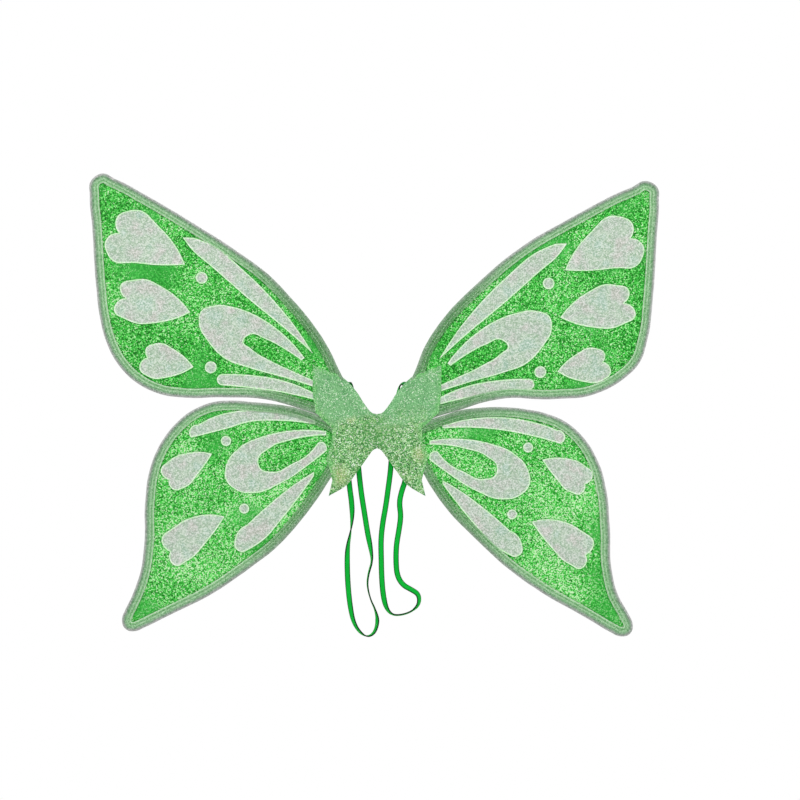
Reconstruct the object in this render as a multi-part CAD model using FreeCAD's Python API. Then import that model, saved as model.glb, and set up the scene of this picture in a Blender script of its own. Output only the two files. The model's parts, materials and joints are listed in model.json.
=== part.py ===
"""Fairy wings: four wire-framed film wings on a cloth-covered centre, with two elastic arm straps.

Frame, in millimetres: +X to the right seen from behind the wearer, +Z up, +Y towards the
wearer's back. The origin is the middle of the raised flat on the centre's back, over the wrapped
wires. The display side faces -Y.
"""
import FreeCAD
import Part
import math
import os

Vec = FreeCAD.Vector

# --- Layers. Each pair is the front and back of a layer along Y. ---
MID_Y = -3.9                       # middle plane of the wires and films
PEARL_T = 0.4                      # pearly carrier film
GLITTER_T = 0.15                   # green glitter layer on each side of it
CASING_T = 3.2                     # rolled edge that holds the wire
HEM_T = 1.9                        # flat part of the edge binding
SLOT_T = 0.8                       # gap in the binding that takes the films
SLOT_OVERRUN = 0.4                 # the slot's cut runs this far past the hem
PEARL_Y = (MID_Y - PEARL_T / 2, MID_Y + PEARL_T / 2)
FRONT_GLITTER_Y = (PEARL_Y[0] - GLITTER_T, PEARL_Y[0])
BACK_GLITTER_Y = (PEARL_Y[1], PEARL_Y[1] + GLITTER_T)
FRONT_COVER_Y = (-6.7, -5.5)
BACK_ARM_Y = (-2.3, -1.1)
STIFFENER_Y = (-2.3, -1.2)
BACK_COVER_Y = (-1.2, -0.4)
BACK_FLAT_Y = (-0.4, 0.0)          # raised flat in the middle of the back cover
BACK_FLAT_HALF = (8.0, 9.0)
BACK_FLAT_ROUND = 3.0

# --- Edge binding, as distances inward from the wing's outline. ---
CASING_W = 3.4
HEM_EDGE = 8.0
CHANNEL = (0.55, 2.95)             # room for the wire in the casing
CHANNEL_T = 2.3
FILM_INSET = 3.1
STITCH_LINE = (6.3, 6.8)
STITCH_T = 0.2

WIRE_D = 2.0
WIRE_INSET = 1.75

# --- The crease on each side, where the four wires leave the centre and the wings bend. ---
CREASE_TOP = (30.0, 48.0)
CREASE_FOOT = (37.0, -40.0)
CLOTH_GAP = 3.0                    # from the crease to cloth and film, on each side
WIRE_GAP = 1.5                     # from the crease to the wire ends
ARM_SPLITS = {                     # the line between each side's upper and lower cover arms
    1: ((33.0, 3.9), (60.0, 14.0)),
    -1: ((33.0, 4.5), (60.0, 16.0)),
}
ARM_SPLIT_GAP = 0.5
CUT_REACH = 600                    # half size of the boxes that cut along these lines
CUT_DEPTH = 60

# --- Straps. ---
STRAP_D = 5.0                      # the elastic is a 5 mm wide ribbon
ARC_SHARE = 0.45                   # share of the shorter run that each bend takes
STRAP_X = 26.5
STRAP_Y = 3.2
STRAP_END_W = 6.0
STRAP_END_BACK = 6.0               # depth of the strap ends' back faces
STRAP_END_H = 6.5
STRAP_END_ROUND = 1.2
STRAP_END_GAP = 0.3                # between a strap and its sewn end
UPPER_ANCHOR_Z = 33.0
LOWER_ANCHOR_Z = -41.0

# --- Wing outlines as (x, z), from the centre out along the top, round, and back. ---
# Left wings are listed with x measured outward, and mirrored when they are made.
UPPER_ROOT = [(0, 12.0), (11, 16.5), (21, 28.5)]
UPPER_FOOT = [(33, 4.6), (0, 1.2)]
LOWER_ROOT = [(0, -1.2), (32, 3.0)]
LOWER_FOOT = [(25, -17), (0, -9.0)]
OUTLINES = {
    "upper_right": UPPER_ROOT + [
        (33.4, 51), (44, 77), (62, 104), (90, 132.6), (130, 166.3), (180, 195.8), (230, 221.1),
        (249, 227.8), (257, 222), (258.2, 209), (256.5, 180), (252.6, 120), (248.5, 86), (240, 61),
        (222, 44), (195, 31.5), (165, 28.4), (110, 28), (94, 24.4), (80, 20.2), (56, 13)]
        + UPPER_FOOT,
    "upper_left": UPPER_ROOT + [
        (33.2, 51.5), (45, 76), (60, 98.7), (80, 122.5), (100, 143), (130, 165), (170, 190.5),
        (210, 214.2), (238, 229.2), (253.5, 234.8), (262.4, 228), (263.3, 214), (261.1, 187),
        (257.6, 134), (254.4, 105.7), (248.2, 81), (238, 61), (220.8, 43.6), (200, 33.3),
        (176, 29.6), (141, 30), (106, 28.6), (80, 22.9), (58, 15.7)] + UPPER_FOOT,
    "lower_right": LOWER_ROOT + [
        (44, 7.2), (58, 12.1), (80, 18.5), (105, 21), (130, 20), (152, 16), (172, 8), (190, -8),
        (203, -30), (210.5, -58), (213.3, -91), (214.6, -126), (219.5, -148), (231.3, -170.2),
        (233.6, -174.6), (231.8, -186.6), (219.8, -188.4), (215.4, -186.1), (190, -171.2),
        (150, -148.4), (120, -127), (90, -99.5), (66, -75), (50, -53),
        (40, -36)] + LOWER_FOOT,
    "lower_left": LOWER_ROOT + [
        (45, 8.8), (58, 14.3), (74, 19.8), (92, 23.5), (112, 25.4), (132, 27), (151, 25.4),
        (170, 17.6), (187, 3.2), (201, -17), (209.2, -40), (212.5, -66), (213.3, -104),
        (216.6, -129), (223.2, -148.8), (231.3, -166.1), (233.3, -170.7), (231, -182),
        (219.5, -183.9), (215, -181.8), (190, -169.6), (150, -149.4),
        (120, -129), (90, -105.4), (70, -83.2), (54.4, -62.4), (42.4, -44)] + LOWER_FOOT,
}

# --- Windows in the glitter layers, where the pearly film shows. A window is a list of smooth
# runs of points; each run starts where the one before it ends, and runs meet at corners. ---
UPPER_WINDOWS = [
    # three hearts, pointing to the centre
    [[(172.3, 146.4), (192.6, 178.2), (219.1, 196.3), (234.6, 187.5), (232, 175.5)],
     [(243.3, 170), (241.5, 154.5), (212, 147.6), (172.3, 146.4)]],
    [[(167.8, 103.1), (190, 124.5), (214, 133.6), (231.4, 125), (226.1, 116.3)],
     [(236.7, 108), (222, 95.2), (195, 94.2), (167.8, 103.1)]],
    [[(165.2, 53.6), (180, 68), (198, 75.4), (208.6, 69.5), (207.1, 62.4)],
     [(214.3, 53.5), (205, 44.4), (186, 44.8), (165.2, 53.6)]],
    # one looped teardrop, open towards the centre
    [[(64.5, 61), (71, 69.6), (89, 87.3), (106, 98.8), (125, 106.6), (145, 109.3), (158, 104),
      (160, 92), (151.9, 76.6), (137.8, 61.6), (113, 51.8), (84.8, 43.9), (54, 34)],
     [(54, 39.4)],
     [(74.2, 48.6), (94, 58), (112, 69), (119.6, 77.6), (114, 82.4), (99, 78), (82, 68.9),
      (67.4, 58.8)],
     [(64.5, 61)]],
    # two leaf stripes
    [[(57, 65), (71, 87), (92, 113.4), (118, 139.8), (147, 163.4), (164, 170.7)],
     [(174, 171)],
     [(168.6, 163.2), (144.5, 141.2), (116, 115.8), (81, 86.6), (57, 65)]],
    [[(54, 28), (83, 40.4), (114.8, 46), (137.8, 46.9)],
     [(143.8, 43.5), (139.6, 36.8)],
     [(114.8, 34.2), (84.8, 29.8), (54, 22.5)], [(54, 28)]],
]
UPPER_DOTS = [(157.2, 134.3, 5.3), (149.5, 53.1, 5.4)]

LOWER_WINDOWS = [
    # two hearts, pointing to the centre
    [[(151.2, -27.2), (170, -25.4), (188.8, -31.4), (197.6, -42), (190.7, -49.6)],
     [(187.5, -58.2), (176, -56.6), (163, -43.4), (151.2, -27.2)]],
    [[(141.6, -84), (165, -82.4), (184, -90), (198.4, -106.5), (191.2, -114.4)],
     [(188, -126.6), (175, -122.4), (158, -106), (141.6, -84)]],
    # one looped teardrop, open towards the centre
    [[(48, -9.6), (76.8, -8), (102.4, -12), (124, -20.5), (138, -35.5), (139.6, -50.5),
      (129.6, -60.8), (112, -63.4), (89.6, -55.2), (60.8, -36.8), (48, -27.2)],
     [(48, -23.4), (76, -36.6), (98.4, -44.8), (108, -41.4), (109.8, -34), (100, -24),
      (78, -16.4), (48, -13.4)], [(48, -9.6)]],
    # the long leaf stripe
    [[(60, -46), (76.8, -56), (102.4, -75.2), (121.6, -92)],
     [(132.6, -104), (132, -113.4), (125, -116.2)],
     [(108.8, -107.2), (89.6, -87.2), (72, -65.6), (60, -49.6)], [(60, -46)]],
]
LOWER_DOTS = [(138.4, -16, 4.6), (123.7, -77.3, 4.5)]
# the leaf stripe beside the top edge, which was laid at another slant on each side
RIGHT_TOP_STRIPE = [
    [(60, 4), (85, 10.2), (115, 11.6), (144, 7.2), (165, 0)],
    [(172.3, -6.5), (168, -12.6)],
    [(145, -6.2), (104, 1.1), (60, 1.6)], [(60, 4)]]
LEFT_TOP_STRIPE = [
    [(57.7, 0.3), (72, 5.5), (90, 9.5), (109, 11), (129, 10.5), (148, 6.3), (163, -0.7)],
    [(171.3, -8.5), (169.7, -12.2)],
    [(139, -5.3), (114, 0.9), (90, 0.9), (57.7, -3.3)], [(57.7, 0.3)]]

# Each wing: side (+1 right), windows, dots, and how its pattern was laid: scale, turn, shift.
WINGS = {
    "upper_right": (1, UPPER_WINDOWS, UPPER_DOTS, (1.0, 0.0, 0.0, 0.0)),
    "upper_left": (-1, UPPER_WINDOWS, UPPER_DOTS, (1.011, -0.42, 0.78, 4.85)),
    "lower_right": (1, LOWER_WINDOWS + [RIGHT_TOP_STRIPE], LOWER_DOTS, (1.0, 0.0, 0.0, 0.0)),
    "lower_left": (-1, LOWER_WINDOWS + [LEFT_TOP_STRIPE], LOWER_DOTS,
                   (1.018, -1.55, -1.97, 10.1)),
}

# --- Centre cover: right half, as smooth runs from the top of the middle to its foot. ---
COVER_HALF = [
    [(0, 14.6), (5.5, 16.4), (12, 24.5), (18, 34), (26, 43.4), (33.5, 50)],
    [(59, 59.5)],
    [(58.6, 34), (56.5, 16)],
    [(41, 1.2)],
    [(42.2, -13), (46.2, -25), (43.4, -36), (41, -46)],
    [(44.4, -60.6)],
    [(28, -50.6), (18, -38), (9, -25.5), (4, -18.8), (0, -16.8)],
]
STIFFENER_HALF = [
    [(0, 9.5), (9, 12), (17, 22), (24, 33), (27, 37)],
    [(31, 2)],
    [(30, -35)],
    [(22, -31), (12, -19), (0, -11.5)],
]

# --- Wrap of tape round the four wires. ---
TAPE_HALF_W = 5.0
TAPE_OUT = ((-5.5, -9.6), (-2.3, 13.2))      # (y, z) corners, outside and inside
TAPE_IN = ((-5.0, -9.1), (-2.8, 12.7))

# --- Strap routes, from the upper anchor, over, down the loop and up to the lower anchor. ---
LEFT_ROUTE = [
    (-26.5, 3.2, 33.0), (-26.6, 3.4, 39.5), (-26.1, 9.3, 42.8), (-24.4, 15.1, 39.7),
    (-23.2, 16.0, 32.2), (-22.4, 14.0, 22.5), (-21.2, 10.6, 8.0), (-19.8, 7.8, -9.0),
    (-18.0, 6.0, -26.0), (-16.4, 5.2, -43.0), (-14.4, 5.0, -60.0), (-11.6, 5.4, -77.0),
    (-9.0, 6.0, -94.0), (-6.0, 6.6, -109.0), (-4.4, 7.2, -121.0), (-8.0, 7.6, -132.0),
    (-9.4, 7.8, -143.0), (-6.4, 8.2, -156.0), (-1.6, 8.6, -166.0), (0.7, 9.0, -176.0),
    (-2.0, 9.2, -187.0), (-9.0, 9.4, -191.4), (-16.6, 9.2, -186.4), (-22.3, 8.8, -176.5),
    (-25.2, 8.2, -161.0), (-27.0, 7.6, -143.0), (-27.7, 7.0, -125.0), (-27.4, 6.4, -108.0),
    (-24.4, 5.8, -94.0), (-22.8, 5.2, -80.0), (-23.5, 4.6, -66.0), (-25.4, 3.8, -53.0),
    (-26.5, 3.2, -41.0)]
RIGHT_ROUTE = [
    (26.5, 3.2, 33.0), (26.5, 3.4, 39.7), (24.6, 9.0, 43.3), (21.2, 14.0, 40.6),
    (19.3, 15.8, 33.4), (18.3, 13.8, 24.0), (16.7, 10.4, 11.0), (15.0, 7.8, -5.0),
    (13.4, 6.0, -21.0), (12.3, 5.2, -38.0), (10.0, 5.0, -55.0), (7.8, 5.2, -71.0),
    (5.0, 5.8, -86.0), (3.4, 6.4, -101.0), (3.7, 7.0, -118.0), (4.1, 7.4, -136.0),
    (5.4, 7.8, -152.0), (8.2, 8.4, -164.5), (14.0, 8.8, -171.0), (23.5, 9.2, -170.6),
    (32.5, 9.2, -167.2), (38.8, 8.8, -160.6), (38.4, 8.4, -151.6), (31.5, 8.0, -147.2),
    (23.5, 7.4, -143.0), (18.2, 6.8, -134.0), (17.2, 6.2, -120.0), (17.6, 5.6, -106.0),
    (20.2, 5.2, -91.5), (21.9, 5.0, -79.0), (20.2, 4.8, -67.0), (22.6, 4.2, -56.0),
    (25.8, 3.5, -47.5), (26.5, 3.2, -41.0)]

BAR_W = 3.6                        # bar tacks that hold the strap ends down
BAR_D = 0.6
BAR_COUNT = 3
BAR_STEP = 1.6


# ---------------------------------------------------------------- plane curves of tangent arcs
def unit(x, z):
    size = math.hypot(x, z)
    return x / size, z / size


def reflect(direction, chord):
    """The direction at an arc's other end: direction mirrored about the chord."""
    ux, uz = unit(*chord)
    along = 2 * (direction[0] * ux + direction[1] * uz)
    return along * ux - direction[0], along * uz - direction[1]


def directions(points):
    """The curve's direction at each point, from the circle through it and its neighbours."""
    if len(points) == 2:
        way = unit(points[1][0] - points[0][0], points[1][1] - points[0][1])
        return [way, way]
    inner = []
    for (ax, az), (bx, bz), (cx, cz) in zip(points, points[1:], points[2:]):
        before = (bx - ax) ** 2 + (bz - az) ** 2
        after = (cx - bx) ** 2 + (cz - bz) ** 2
        inner.append(unit((bx - ax) / before + (cx - bx) / after,
                          (bz - az) / before + (cz - bz) / after))
    first = (points[1][0] - points[0][0], points[1][1] - points[0][1])
    last = (points[-2][0] - points[-1][0], points[-2][1] - points[-1][1])
    return [reflect(inner[0], first)] + inner + [reflect(inner[-1], last)]


def joint_point(p, q, start, end):
    """Where the two arcs of a span meet."""
    vx, vz = q[0] - p[0], q[1] - p[1]
    span = vx * vx + vz * vz
    along = vx * (start[0] + end[0]) + vz * (start[1] + end[1])
    spread = 2 * (1 - start[0] * end[0] - start[1] * end[1])
    if spread < 1e-9:
        reach = span / (2 * along)
    else:
        reach = (math.sqrt(along * along + spread * span) - along) / spread
    return ((p[0] + q[0] + reach * (start[0] - end[0])) / 2,
            (p[1] + q[1] + reach * (start[1] - end[1])) / 2)


def stations(points):
    """Stations (x, z, direction x, direction z); one arc joins each station to the next."""
    ways = directions(points)
    found = [points[0] + ways[0]]
    for p, q, start, end in zip(points, points[1:], ways, ways[1:]):
        mid = joint_point(p, q, start, end)
        mid_way = reflect(start, (mid[0] - p[0], mid[1] - p[1]))
        found.append(mid + mid_way)
        found.append(q + end)
    return found


def inset(path, distance):
    """The same path, moved to the right of its direction. Arcs stay arcs."""
    return [(x + tz * distance, z - tx * distance, tx, tz) for x, z, tx, tz in path]


def arc_edges(path, side):
    """Edges of the path in the middle plane. side is -1 for the mirrored left wings."""
    found = []
    for (px, pz, tx, tz), (qx, qz, _, _) in zip(path, path[1:]):
        size = math.hypot(qx - px, qz - pz)
        if size < 1e-6:
            continue
        ux, uz = (qx - px) / size, (qz - pz) / size
        rise = size / 2 * (ux * tz - uz * tx) / (1 + ux * tx + uz * tz)
        start, end = Vec(side * px, MID_Y, pz), Vec(side * qx, MID_Y, qz)
        if abs(rise) < 1e-4:
            found.append(Part.LineSegment(start, end).toShape())
            continue
        top = Vec(side * ((px + qx) / 2 - uz * rise), MID_Y, (pz + qz) / 2 + ux * rise)
        found.append(Part.Arc(start, top, end).toShape())
    return found


def smallest_radius(path):
    """The tightest right-hand arc, which an inset must not pass."""
    radii = []
    for (px, pz, tx, tz), (qx, qz, sx, sz) in zip(path, path[1:]):
        turn = math.asin(max(-1, min(1, tx * sz - tz * sx)))
        if turn < -0.02:
            radii.append(math.hypot(qx - px, qz - pz) / (2 * math.sin(-turn / 2)))
    return min(radii)


def line(a, b, side):
    """A straight edge between two stations, in the middle plane."""
    start, end = Vec(side * a[0], MID_Y, a[1]), Vec(side * b[0], MID_Y, b[1])
    return Part.LineSegment(start, end).toShape()


def slab(wire, layer, holes=()):
    """A plate between the two depths of a layer."""
    face = Part.Face(wire)
    if holes:
        face = face.cut([Part.Face(hole) for hole in holes]).Faces[0]
    plate = face.extrude(Vec(0, layer[1] - layer[0], 0))
    plate.translate(Vec(0, layer[0] - MID_Y, 0))
    return plate


def about_mid(thickness):
    return MID_Y - thickness / 2, MID_Y + thickness / 2


# ---------------------------------------------------------------- cutting along the crease
def crease_box(side, distance, outward):
    """A box over everything outward (or inward) of a line beside the crease."""
    (tx, tz), (fx, fz) = CREASE_TOP, CREASE_FOOT
    lean = math.degrees(math.atan2(fx - tx, tz - fz))
    start = distance if outward else distance - CUT_REACH
    corner = Vec(start, -CUT_DEPTH / 2, -CUT_REACH)
    box = Part.makeBox(CUT_REACH, CUT_DEPTH, 2 * CUT_REACH, corner)
    box.rotate(Vec(0, 0, 0), Vec(0, 1, 0), -lean)
    box.translate(Vec(tx, 0, tz))
    if side < 0:
        box = box.mirror(Vec(0, 0, 0), Vec(1, 0, 0))
    return box


def wing_side(shape, side, gap):
    return shape.common(crease_box(side, gap, True))


def centre_side(shape, gap):
    for side in (1, -1):
        shape = shape.common(crease_box(side, -gap, False))
    return shape


# ---------------------------------------------------------------- wings
def outline(name):
    """Stations of the outline. Both ends run level, so left and right wires meet in line."""
    points = OUTLINES[name]
    before, after = points[1], points[-2]
    mirrored = [(-before[0], before[1])] + points + [(-after[0], after[1])]
    return stations(mirrored)[2:-2]


def edge_path(name):
    """The outline without its stretches inside the centre, where the two edges would cross."""
    root, foot = (UPPER_ROOT, UPPER_FOOT) if name.startswith("upper") else (LOWER_ROOT, LOWER_FOOT)
    path = outline(name)
    return path[2 * (len(root) - 1):len(path) - 2 * (len(foot) - 1)]


def band(path, near, far, layer, side):
    """A strip along the outline between two insets."""
    outer, inner = inset(path, near), inset(path, far)
    edges = arc_edges(outer, side) + [line(outer[-1], inner[-1], side)]
    edges += arc_edges(inner, side) + [line(inner[0], outer[0], side)]
    wire = Part.Wire(Part.__sortEdges__(edges))
    return slab(wire, layer)


def edge_binding(path, side):
    """Rolled casing with a wire channel, and a flat hem with a slot for the films."""
    casing = band(path, 0, CASING_W, about_mid(CASING_T), side)
    hem = band(path, CASING_W, HEM_EDGE, about_mid(HEM_T), side)
    channel = band(path, CHANNEL[0], CHANNEL[1], about_mid(CHANNEL_T), side)
    slot = band(path, CHANNEL[1], HEM_EDGE + SLOT_OVERRUN, about_mid(SLOT_T), side)
    return casing.fuse(hem).cut(channel).cut(slot).removeSplitter()


def window_wire(runs, layout, side):
    """A closed window outline, laid on the wing by scale, turn and shift."""
    scale, turn, dx, dz = layout
    cos, sin = math.cos(math.radians(turn)), math.sin(math.radians(turn))

    def laid(point):
        x, z = scale * point[0], scale * point[1]
        return cos * x - sin * z + dx, sin * x + cos * z + dz

    edges = []
    last = []
    for run in runs:
        points = last + [laid(p) for p in run]
        last = points[-1:]
        edges += arc_edges(stations(points), side)
    return Part.Wire(Part.__sortEdges__(edges))


def dot_wire(dot, layout, side):
    x, z, radius = dot
    ring = [(x - radius, z), (x, z + radius), (x + radius, z)]
    back = [(x, z - radius), (x - radius, z)]
    return window_wire([ring, back], layout, side)


def film_wire(path, side):
    edge = inset(path, FILM_INSET)
    return Part.Wire(Part.__sortEdges__(arc_edges(edge, side) + [line(edge[-1], edge[0], side)]))


def film(path, side, layer, holes=()):
    return wing_side(slab(film_wire(path, side), layer, holes), side, CLOTH_GAP)


def frame_wire(path, side):
    """Round wire swept along the casing, from the middle of the centre out and back."""
    centre_line = inset(path, WIRE_INSET)
    spine = Part.Wire(Part.__sortEdges__(arc_edges(centre_line, side)))
    x, z, tx, tz = centre_line[0]
    ring = Part.makeCircle(WIRE_D / 2, Vec(side * x, MID_Y, z), Vec(side * tx, 0, tz))
    return spine.makePipeShell([Part.Wire(ring)], True, False)


def stitching(path, side):
    """The seam's thread on the hem's front and back."""
    front, back = about_mid(HEM_T)
    rows = [band(path, *STITCH_LINE, (front - STITCH_T, front), side),
            band(path, *STITCH_LINE, (back, back + STITCH_T), side)]
    return Part.makeCompound([wing_side(row, side, CLOTH_GAP) for row in rows])


def wing_nodes(name):
    side, windows, dots, layout = WINGS[name]
    path = outline(name)
    print(name, "tightest outline radius", round(smallest_radius(path), 1))
    holes = [window_wire(runs, layout, side) for runs in windows]
    holes += [dot_wire(dot, layout, side) for dot in dots]
    wire = frame_wire(path, side)
    edge = edge_path(name)
    binding = wing_side(edge_binding(edge, side), side, CLOTH_GAP)
    nodes = {
        name + "_frame_wire": wing_side(wire, side, WIRE_GAP),
        name + "_edge_binding": binding,
        name + "_pearl_film": film(path, side, PEARL_Y),
        name + "_front_glitter_film": film(path, side, FRONT_GLITTER_Y, holes),
        name + "_back_glitter_film": film(path, side, BACK_GLITTER_Y, holes),
        name + "_edge_stitching": stitching(edge, side),
    }
    return nodes, wire


# ---------------------------------------------------------------- centre
def mirrored_outline(half):
    """A closed wire from a right half and its mirror image."""
    edges = []
    last = []
    for run in half:
        points = last + run
        last = points[-1:]
        for side in (1, -1):
            edges += arc_edges(stations(points), side)
    return Part.Wire(Part.__sortEdges__(edges))


def split_box(upper, side):
    """A box over everything above, or below, the line between two cover arms."""
    (ax, az), (bx, bz) = ARM_SPLITS[side]
    slope = math.degrees(math.atan2(bz - az, bx - ax))
    start = ARM_SPLIT_GAP if upper else -ARM_SPLIT_GAP - CUT_REACH
    corner = Vec(-CUT_REACH, -CUT_DEPTH / 2, start)
    box = Part.makeBox(2 * CUT_REACH, CUT_DEPTH, CUT_REACH, corner)
    box.rotate(Vec(0, 0, 0), Vec(0, 1, 0), -slope)
    box.translate(Vec(ax, 0, az))
    if side < 0:
        box = box.mirror(Vec(0, 0, 0), Vec(1, 0, 0))
    return box


def cover_arm(name, layer):
    """The part of the cover that is glued to one wing and bends with it."""
    side = WINGS[name][0]
    sheet = slab(mirrored_outline(COVER_HALF), layer)
    return wing_side(sheet, side, CLOTH_GAP).common(split_box(name.startswith("upper"), side))


def wrap_tape():
    (y0, z0), (y1, z1) = TAPE_OUT
    outer = Part.makeBox(2 * TAPE_HALF_W, y1 - y0, z1 - z0, Vec(-TAPE_HALF_W, y0, z0))
    (y0, z0), (y1, z1) = TAPE_IN
    inner = Part.makeBox(4 * TAPE_HALF_W, y1 - y0, z1 - z0, Vec(-2 * TAPE_HALF_W, y0, z0))
    return outer.cut(inner)


def strap_end(side, upper):
    """The folded end of a strap, sewn flat on the back of the centre."""
    low = UPPER_ANCHOR_Z - STRAP_END_H if upper else LOWER_ANCHOR_Z
    front = BACK_COVER_Y[1]
    corner = Vec(side * STRAP_X - STRAP_END_W / 2, front, low)
    block = Part.makeBox(STRAP_END_W, STRAP_END_BACK - front, STRAP_END_H, corner)
    sides = [e for e in block.Edges if abs(e.CenterOfMass.y - STRAP_END_BACK) < 1e-6
             and abs(e.CenterOfMass.x - side * STRAP_X) > 1]
    return block.makeFillet(STRAP_END_ROUND, sides)


def bar_tacks():
    """Three short bars of thread across each strap end."""
    bars = []
    for side in (1, -1):
        for middle in (UPPER_ANCHOR_Z - STRAP_END_H / 2, LOWER_ANCHOR_Z + STRAP_END_H / 2):
            for i in range(BAR_COUNT):
                z = middle + (i - (BAR_COUNT - 1) / 2) * BAR_STEP - BAR_D / 2
                corner = Vec(side * STRAP_X - BAR_W / 2, STRAP_END_BACK, z)
                bars.append(Part.makeBox(BAR_W, BAR_D / 2, BAR_D, corner))
    return Part.makeCompound(bars)


def back_cover():
    """The plain cloth on the wearer's side, raised where it passes over the wrapped wires."""
    cloth = centre_side(slab(mirrored_outline(COVER_HALF), BACK_COVER_Y), CLOTH_GAP)
    half_w, half_h = BACK_FLAT_HALF
    low, high = BACK_FLAT_Y
    flat = Part.makeBox(2 * half_w, high - low, 2 * half_h, Vec(-half_w, low, -half_h))
    uprights = [e for e in flat.Edges if e.BoundBox.YLength > (high - low) / 2]
    return cloth.fuse(flat.makeFillet(BACK_FLAT_ROUND, uprights)).removeSplitter()


def centre_nodes(wires):
    nodes = {
        "front_cover_centre": centre_side(slab(mirrored_outline(COVER_HALF), FRONT_COVER_Y),
                                          CLOTH_GAP),
        "back_cover_centre": back_cover(),
        "stiffener_board": centre_side(slab(mirrored_outline(STIFFENER_HALF), STIFFENER_Y),
                                       CLOTH_GAP),
        "wire_wrap_tape": wrap_tape(),
        "strap_bar_tacks": bar_tacks(),
    }
    for level in ("upper", "lower"):
        pair = wires[level + "_left"].fuse(wires[level + "_right"])
        nodes[level + "_wire_centre"] = centre_side(pair, WIRE_GAP)
        for side, word in ((1, "right"), (-1, "left")):
            nodes["strap_end_" + level + "_" + word] = strap_end(side, level == "upper")
    return nodes


# ---------------------------------------------------------------- straps
def strap_tube(name, route):
    """Straight runs joined by tangent arcs, each as large as its two runs allow."""
    points = [Vec(*p) for p in route]
    edges = []
    radii = []
    at = points[0]
    for before, corner, after in zip(points, points[1:], points[2:]):
        back, ahead = before - corner, after - corner
        turn = math.pi - back.getAngle(ahead)
        cut = ARC_SHARE * min(back.Length, ahead.Length)
        radius = cut / math.tan(turn / 2)
        radii.append(round(radius, 1))
        start, end = corner + back.normalize() * cut, corner + ahead.normalize() * cut
        inward = (back + ahead).normalize()
        sag = radius / math.cos(turn / 2) - radius
        edges.append(Part.LineSegment(at, start).toShape())
        edges.append(Part.Arc(start, corner + inward * sag, end).toShape())
        at = end
    edges.append(Part.LineSegment(at, points[-1]).toShape())
    spine = Part.Wire(edges)
    ring = Part.makeCircle(STRAP_D / 2, points[0], points[1] - points[0])
    tube = spine.makePipeShell([Part.Wire(ring)], True, False)
    section = math.pi * STRAP_D ** 2 / 4
    print(name, "length", round(spine.Length, 1), "volume ratio",
          round(tube.Volume / (section * spine.Length), 4), "radii", radii)
    return tube.cut([end_space(points[0], -1), end_space(points[-1], 1)])


def end_space(anchor, up):
    """The space of a sewn strap end and the gap beside it, on one side of the anchor."""
    low = anchor.z - STRAP_END_GAP if up > 0 else anchor.z + STRAP_END_GAP - STRAP_END_H
    corner = Vec(anchor.x - STRAP_END_W, anchor.y - STRAP_END_W, low)
    return Part.makeBox(2 * STRAP_END_W, 2 * STRAP_END_W, STRAP_END_H, corner)


def main():
    os.makedirs("parts", exist_ok=True)
    nodes = {}
    wires = {}
    for name in WINGS:
        made, wires[name] = wing_nodes(name)
        nodes.update(made)
        nodes[name + "_front_cover_arm"] = cover_arm(name, FRONT_COVER_Y)
        nodes[name + "_back_cover_arm"] = cover_arm(name, BACK_ARM_Y)
    nodes.update(centre_nodes(wires))
    nodes["left_strap_elastic"] = strap_tube("left strap", LEFT_ROUTE)
    nodes["right_strap_elastic"] = strap_tube("right strap", RIGHT_ROUTE)
    for node, shape in nodes.items():
        if not shape.Solids:
            raise ValueError(node + " holds no solid")
        shape.exportStep("parts/" + node + ".step")
        print(node, "solids", len(shape.Solids), "valid", shape.isValid(), "volume",
              round(shape.Volume, 1))


main()
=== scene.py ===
"""Fairy wings: the looks, made over the CAD frame.

Lengths are in millimetres until a mesh is written. +X is to the right, +Z is up and the display
side faces -Y. Outlines are read from the CAD plates, so film, binding and stitches follow them.
"""
import json
import math

import bmesh
import bpy
import numpy as np
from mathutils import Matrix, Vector, noise
from mathutils.geometry import delaunay_2d_cdt
from mathutils.kdtree import KDTree


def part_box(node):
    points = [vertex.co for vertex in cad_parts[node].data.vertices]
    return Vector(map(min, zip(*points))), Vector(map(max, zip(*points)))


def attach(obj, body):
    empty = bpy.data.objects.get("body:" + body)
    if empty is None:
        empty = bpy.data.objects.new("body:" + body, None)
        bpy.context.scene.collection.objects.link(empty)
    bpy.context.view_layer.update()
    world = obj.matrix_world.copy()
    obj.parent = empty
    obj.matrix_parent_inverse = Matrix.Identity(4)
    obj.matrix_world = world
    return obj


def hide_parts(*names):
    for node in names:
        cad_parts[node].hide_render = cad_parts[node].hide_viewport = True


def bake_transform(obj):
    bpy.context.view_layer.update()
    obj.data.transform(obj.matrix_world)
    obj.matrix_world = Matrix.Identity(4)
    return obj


MM = 0.001
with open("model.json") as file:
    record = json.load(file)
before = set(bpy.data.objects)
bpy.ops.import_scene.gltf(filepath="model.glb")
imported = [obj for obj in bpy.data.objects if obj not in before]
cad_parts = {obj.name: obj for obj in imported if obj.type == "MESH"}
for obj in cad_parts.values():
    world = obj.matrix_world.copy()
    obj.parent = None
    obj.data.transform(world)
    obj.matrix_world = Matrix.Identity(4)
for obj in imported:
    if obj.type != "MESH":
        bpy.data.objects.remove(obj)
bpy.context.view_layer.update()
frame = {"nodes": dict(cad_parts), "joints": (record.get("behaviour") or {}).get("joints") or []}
WINGS = ("upper_right", "upper_left", "lower_right", "lower_left")


def cad_box(node):
    """A CAD node's lowest and highest corner, in mm."""
    low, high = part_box(node)
    return low / MM, high / MM


def cad_middle(node):
    low, high = cad_box(node)
    return (low.y + high.y) / 2


MID_Y = cad_middle("upper_right_pearl_film")    # the wings' middle plane
FILM_INSET = 3.1                # the films' edge lies this far inside the wing's outline

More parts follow.
